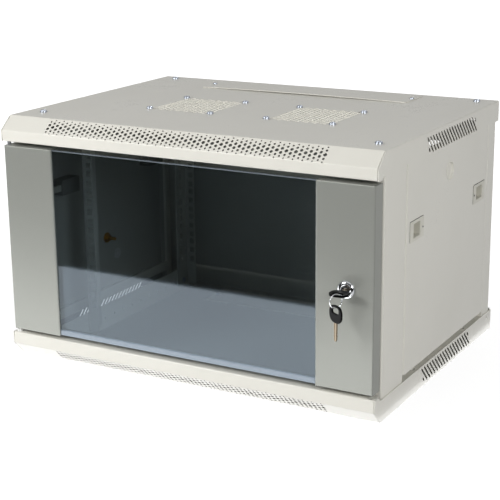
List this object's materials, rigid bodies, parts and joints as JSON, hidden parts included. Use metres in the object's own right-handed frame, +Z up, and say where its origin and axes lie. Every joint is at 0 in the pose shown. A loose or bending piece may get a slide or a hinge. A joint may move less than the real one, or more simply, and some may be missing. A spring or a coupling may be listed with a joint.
{
  "type": "wall mount network cabinet",
  "caption": "Wall cabinet for 19-inch network gear: folded steel shell, tinted glass door with cam lock and keys, lift-off side panels on sprung latches, vented top and bottom.",
  "frame": {"origin": "middle of the base, on the underside of the floor tray", "axes": "+X right as seen from the front, -Y out of the front door, +Z up"},
  "size_m": [0.6, 0.4901, 0.3714],
  "materials": {
    "cabinet_paint": "light grey textured powder coat, satin",
    "door_paint": "light grey powder coat, satin",
    "rail_paint": "zinc plated, satin",
    "tinted_glass": "toughened, dark tint, polished",
    "zinc_steel": "zinc plated",
    "zinc_screws": "bright zinc plate",
    "spring_steel": "oiled spring wire",
    "latch_plastic": "moulded, satin",
    "white_nylon": "natural nylon",
    "seal_foam": "black foam tape",
    "brass": "bare brass",
    "lock_chrome": "polished",
    "key_steel": "nickel plated",
    "key_plastic": "black moulded"
  },
  "bodies": {
    "cabinet": {"cable_cover_screws": "zinc_screws", "corner_screws": "zinc_screws", "earth_nut": "brass", "earth_stud": "brass", "fan_blank_screws": "zinc_screws", "fan_blanks": "zinc_steel", "floor_cable_cover": "cabinet_paint", "floor_tray": "cabinet_paint", "front_post_left": "cabinet_paint", "front_post_right": "cabinet_paint", "front_rail_left": "rail_paint", "front_rail_right": "rail_paint", "latch_housings": "latch_plastic", "latch_spring_left_front": "spring_steel", "latch_spring_left_rear": "spring_steel", "latch_spring_right_front": "spring_steel", "latch_spring_right_rear": "spring_steel", "lock_hole_plugs": "latch_plastic", "lower_brace_left": "cabinet_paint", "lower_brace_right": "cabinet_paint", "lower_hinge_bush": "white_nylon", "lower_sill_left": "cabinet_paint", "lower_sill_right": "cabinet_paint", "rail_screws": "zinc_screws", "rear_panel": "cabinet_paint", "rear_panel_screws": "zinc_screws", "rear_post_left": "cabinet_paint", "rear_post_right": "cabinet_paint", "rear_rail_left": "rail_paint", "rear_rail_right": "rail_paint", "roof_cable_cover": "cabinet_paint", "roof_cover": "cabinet_paint", "side_panel_left": "cabinet_paint", "side_panel_right": "cabinet_paint", "upper_brace_left": "cabinet_paint", "upper_brace_right": "cabinet_paint", "upper_sill_left": "cabinet_paint", "upper_sill_right": "cabinet_paint"},
    "door": {"door_strip_left": "door_paint", "door_strip_right": "door_paint", "door_glass": "tinted_glass", "glass_seals": "seal_foam", "glass_retainers": "zinc_steel", "upper_hinge_spring": "spring_steel", "lower_hinge_pin": "zinc_steel", "lock_barrel": "lock_chrome", "lock_nut": "zinc_steel"},
    "hinge_pin": {"upper_hinge_pin": "zinc_steel"},
    "lock": {"lock_plug": "lock_chrome", "lock_cam": "zinc_steel", "cam_screw": "zinc_screws"},
    "key": {"key_blade": "key_steel", "key_bow": "key_plastic"},
    "ring": {"key_ring": "key_steel"},
    "spare_key": {"spare_key_blade": "key_steel", "spare_key_bow": "key_plastic"},
    "latch_left_front": {"latch_slider_left_front": "latch_plastic"},
    "latch_left_rear": {"latch_slider_left_rear": "latch_plastic"},
    "latch_right_front": {"latch_slider_right_front": "latch_plastic"},
    "latch_right_rear": {"latch_slider_right_rear": "latch_plastic"}
  },
  "joints": [
    {"name": "door_swing", "type": "hinge", "parent": "cabinet", "child": "door", "pos_m": [-0.291, -0.219, 0.1856], "axis": [0, 0, -1], "range_deg": [0, 180]},
    {"name": "hinge_pin_pull", "type": "slide", "parent": "door", "child": "hinge_pin", "axis": [0, 0, -1], "range_m": [0, 0.008], "stiffness_N_per_m": 600, "springref_m": -0.005, "deforming": ["upper_hinge_spring"]},
    {"name": "lock_turn", "type": "hinge", "parent": "door", "child": "lock", "pos_m": [0.257, -0.225, 0.1856], "axis": [0, -1, 0], "range_deg": [0, 90]},
    {"name": "key_pull", "type": "slide", "parent": "lock", "child": "key", "axis": [0, -1, 0], "range_m": [0, 0.03]},
    {"name": "ring_swing", "type": "hinge", "parent": "key", "child": "ring", "pos_m": [0.257, -0.2557, 0.18835], "axis": [0.5, 0.866, 0], "range_deg": [-20, 20]},
    {"name": "spare_key_swing", "type": "hinge", "parent": "ring", "child": "spare_key", "pos_m": [0.257, -0.2557, 0.16935], "axis": [0.5, 0.866, 0], "range_deg": [-30, 30]},
    {"name": "latch_left_front_pull", "type": "slide", "parent": "cabinet", "child": "latch_left_front", "axis": [0, 1, 0], "range_m": [0, 0.006], "stiffness_N_per_m": 400, "springref_m": -0.004, "deforming": ["latch_spring_left_front"]},
    {"name": "latch_left_rear_pull", "type": "slide", "parent": "cabinet", "child": "latch_left_rear", "axis": [0, -1, 0], "range_m": [0, 0.006], "stiffness_N_per_m": 400, "springref_m": -0.004, "deforming": ["latch_spring_left_rear"]},
    {"name": "latch_right_front_pull", "type": "slide", "parent": "cabinet", "child": "latch_right_front", "axis": [0, 1, 0], "range_m": [0, 0.006], "stiffness_N_per_m": 400, "springref_m": -0.004, "deforming": ["latch_spring_right_front"]},
    {"name": "latch_right_rear_pull", "type": "slide", "parent": "cabinet", "child": "latch_right_rear", "axis": [0, -1, 0], "range_m": [0, 0.006], "stiffness_N_per_m": 400, "springref_m": -0.004, "deforming": ["latch_spring_right_rear"]}
  ]
}
